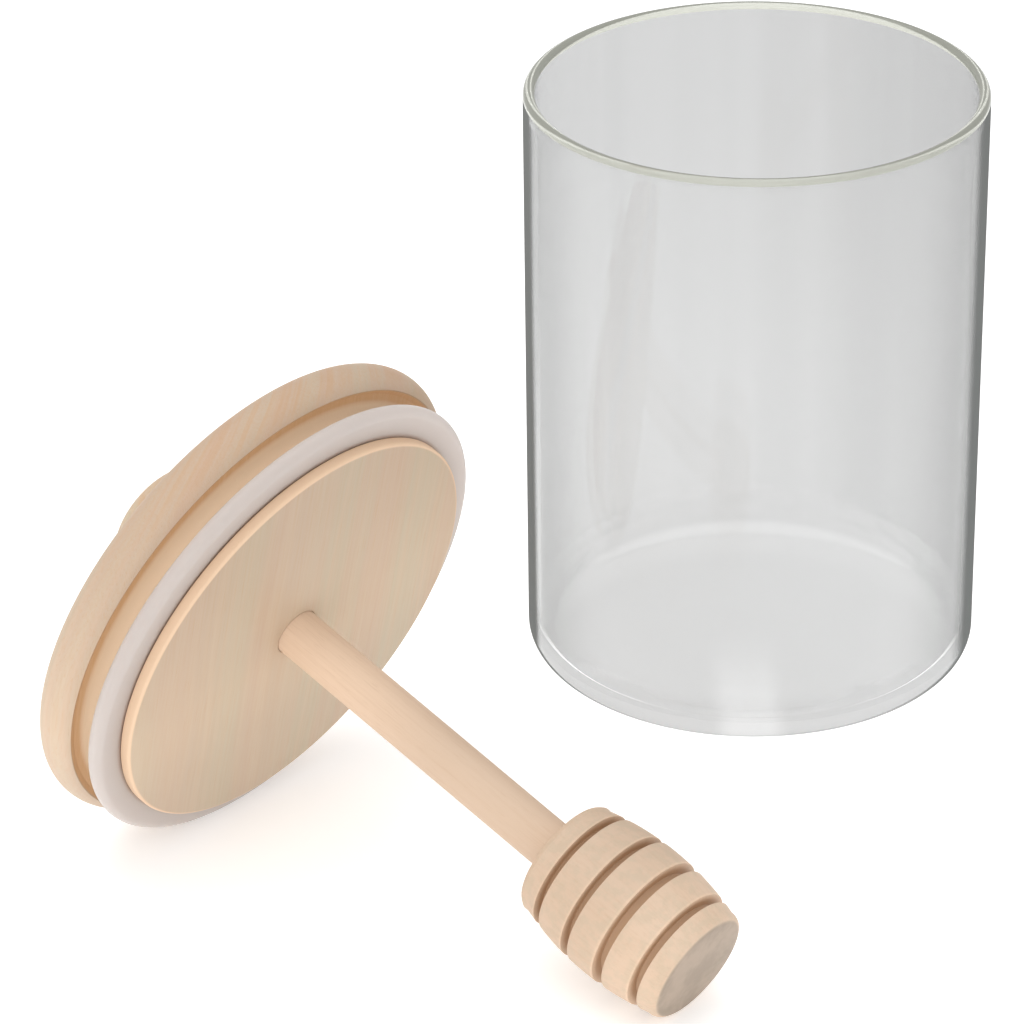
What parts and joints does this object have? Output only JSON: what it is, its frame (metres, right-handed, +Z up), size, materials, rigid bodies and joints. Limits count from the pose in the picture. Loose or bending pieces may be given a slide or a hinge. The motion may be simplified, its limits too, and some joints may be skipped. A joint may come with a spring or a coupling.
{
  "type": "honey pot with dipper lid",
  "caption": "Open clear glass jar with its turned wooden lid beside it. The lid carries a soft seal ring, a knob and a grooved honey dipper.",
  "frame": {"origin": "centre of the jar's underside, on the surface that the jar and the lid stand on", "axes": "+Z up along the jar's axis; the lid with the dipper lies on the -X, -Y side of the jar and its dipper points towards +X, -Y and down; -Y faces the viewer of the picture"},
  "size_m": [0.1798, 0.192, 0.1206],
  "materials": {
    "jar": "clear polished glass",
    "lid": "plain sanded pale wood with grain across the face",
    "seal_ring": "milky translucent silicone",
    "knob": "plain sanded pale wood",
    "dipper": "plain sanded pale wood"
  },
  "bodies": {
    "root": {"jar": "jar", "lid": "lid", "seal_ring": "seal_ring", "knob": "knob", "dipper": "dipper"}
  },
  "joints": []
}
